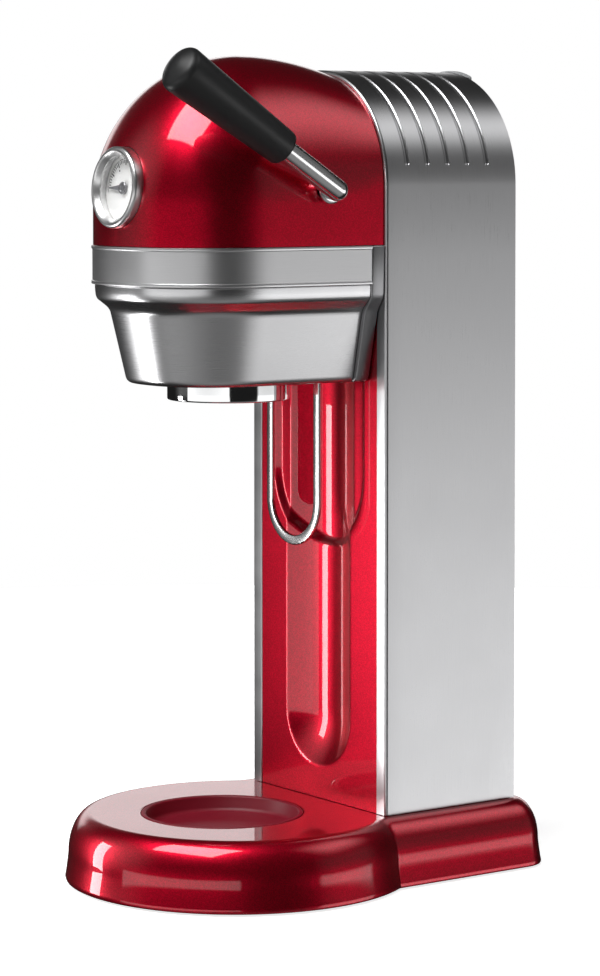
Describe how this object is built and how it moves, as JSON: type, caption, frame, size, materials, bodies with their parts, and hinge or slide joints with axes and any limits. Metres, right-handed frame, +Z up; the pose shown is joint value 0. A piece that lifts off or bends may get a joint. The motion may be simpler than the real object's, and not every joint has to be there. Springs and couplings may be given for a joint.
{
  "type": "soda carbonator",
  "caption": "Countertop soda maker with a domed head on an arched metal column, a side lever, a round gauge, a tilting bottle holder and a keyhole base with a dish.",
  "frame": {"origin": "on the floor under the middle of the base's outline", "axes": "+Z up, +Y to the back, where the column stands, +X to the lever's side"},
  "size_m": [0.1778, 0.2376, 0.4229],
  "materials": {
    "red_enamel": "candy red metallic enamel under clear lacquer",
    "dark_red_plastic": "matte moulded",
    "brushed_steel": "brushed along its length",
    "satin_aluminium": "fine satin turning",
    "chrome": "polished",
    "black_grip": "satin soft touch",
    "grey_plastic": "fine moulded grain",
    "dial_white": "printed card",
    "needle_grey": "painted",
    "clear_lens": "clear",
    "black_rubber": "matte",
    "zinc_steel": "zinc plated",
    "brass": "machined",
    "cylinder_enamel": "painted",
    "nylon": "moulded"
  },
  "bodies": {
    "machine": {"base_casting": "red_enamel", "base_plate": "zinc_steel", "base_screw_front_left": "zinc_steel", "base_screw_front_right": "zinc_steel", "base_screw_rear_left": "zinc_steel", "base_screw_rear_right": "zinc_steel", "column_frame": "zinc_steel", "column_shell": "brushed_steel", "cradle_bracket_left": "zinc_steel", "cradle_bracket_right": "zinc_steel", "cylinder_seat": "nylon", "foot_front_left": "black_rubber", "foot_front_right": "black_rubber", "foot_rear_left": "black_rubber", "foot_rear_right": "black_rubber", "front_panel": "red_enamel", "gas_tube": "nylon", "gauge_bezel": "chrome", "gauge_dial": "dial_white", "gauge_housing": "zinc_steel", "gauge_lens": "clear_lens", "head_bowl": "satin_aluminium", "head_dome": "red_enamel", "head_floor": "zinc_steel", "head_saddle": "satin_aluminium", "lever_bush_left": "nylon", "lever_bush_right": "nylon", "lever_frame_left": "zinc_steel", "lever_frame_right": "zinc_steel", "nozzle_socket": "nylon", "pushrod_guide": "nylon", "trim_band": "brushed_steel", "valve_block": "brass"},
    "lever": {"lever_shaft": "chrome", "lever_arm": "chrome", "lever_grip": "black_grip", "lever_cam": "zinc_steel"},
    "pushrod": {"valve_pushrod": "zinc_steel"},
    "needle": {"gauge_needle": "needle_grey"},
    "cradle": {"locking_collar": "chrome", "gas_nozzle": "nylon", "bottle_seal": "black_rubber", "cradle_yoke": "zinc_steel", "cradle_pin_left": "zinc_steel", "cradle_pin_right": "zinc_steel", "bottle_loop": "chrome"},
    "cylinder": {"gas_cylinder": "cylinder_enamel", "cylinder_valve": "brass"},
    "cover": {"rear_cover": "grey_plastic"},
    "latch": {"cover_latch": "grey_plastic"},
    "dish": {"drip_dish": "dark_red_plastic"}
  },
  "joints": [
    {"name": "lever_pull", "type": "hinge", "parent": "machine", "child": "lever", "pos_m": [0, -0.01702, 0.3542], "axis": [1, 0, 0], "range_deg": [0, 35], "stiffness_Nm_per_rad": 1.5, "springref_deg": -20.05},
    {"name": "pushrod_slide", "type": "slide", "parent": "machine", "child": "pushrod", "axis": [0, 1, 0], "range_m": [0, 0.003]},
    {"name": "needle_swing", "type": "hinge", "parent": "machine", "child": "needle", "pos_m": [0, -0.10562, 0.3555], "axis": [0, 0.9969, -0.0785], "range_deg": [0, 180], "stiffness_Nm_per_rad": 0.002, "springref_deg": -11.46},
    {"name": "cradle_tilt", "type": "hinge", "parent": "machine", "child": "cradle", "pos_m": [0, -0.03562, 0.268], "axis": [-1, 0, 0], "range_deg": [0, 8]},
    {"name": "cylinder_turn", "type": "hinge", "parent": "machine", "child": "cylinder", "pos_m": [0, 0.06908, 0.041], "axis": [0, 0, 1], "continuous": true},
    {"name": "cover_lift_off", "type": "slide", "parent": "machine", "child": "cover", "axis": [0, 1, 0], "range_m": [0, 0.06]},
    {"name": "latch_press", "type": "slide", "parent": "cover", "child": "latch", "axis": [0, 0, -1], "range_m": [0, 0.0025], "stiffness_N_per_m": 800, "springref_m": -0.001},
    {"name": "dish_lift_off", "type": "slide", "parent": "machine", "child": "dish", "axis": [0, 0, 1], "range_m": [0, 0.05]}
  ],
  "couplings": [
    {"joint": "pushrod_slide", "follows": "lever_pull", "m_per_rad": 0.0049}
  ]
}
